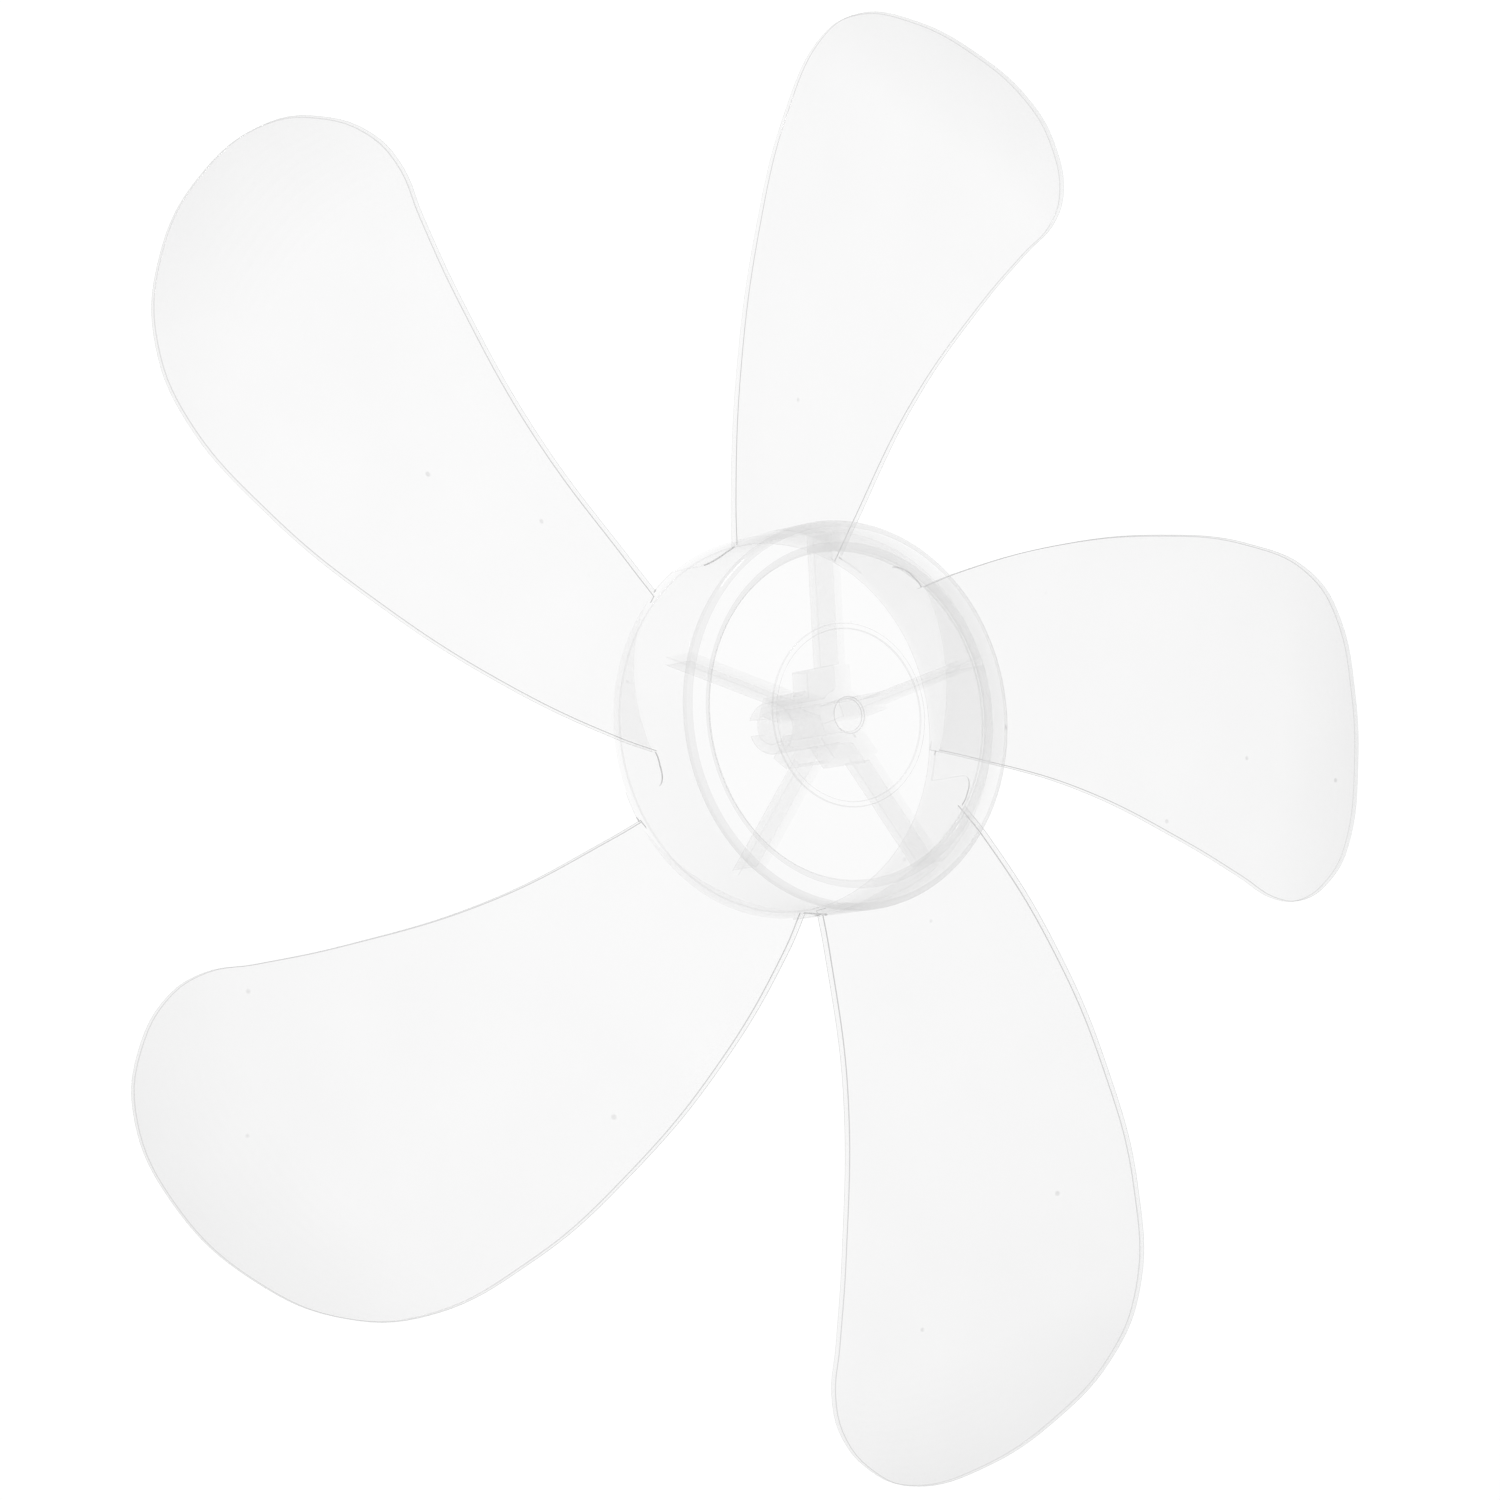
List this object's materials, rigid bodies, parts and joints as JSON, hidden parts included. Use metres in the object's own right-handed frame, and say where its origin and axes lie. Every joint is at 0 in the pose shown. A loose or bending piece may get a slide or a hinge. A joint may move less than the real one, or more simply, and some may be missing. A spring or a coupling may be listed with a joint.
{
  "type": "pedestal fan blade",
  "caption": "Clear moulded axial fan blade with swept, twisted blades around a ribbed hub cup, and a slotted shaft boss for a drive pin.",
  "frame": {"origin": "on the shaft axis, in the plane of the hub's rear rim, where the drive pin seats in the boss", "axes": "+Z along the shaft towards the nose and the spinner nut, +Y along the first rib, so the blades go round +Z"},
  "size_m": [0.3772, 0.3869, 0.0378],
  "materials": {
    "clear_plastic": "water-clear styrene plastic with a soft moulded gloss"
  },
  "bodies": {
    "root": {"fan_blade": "clear_plastic"}
  },
  "joints": []
}
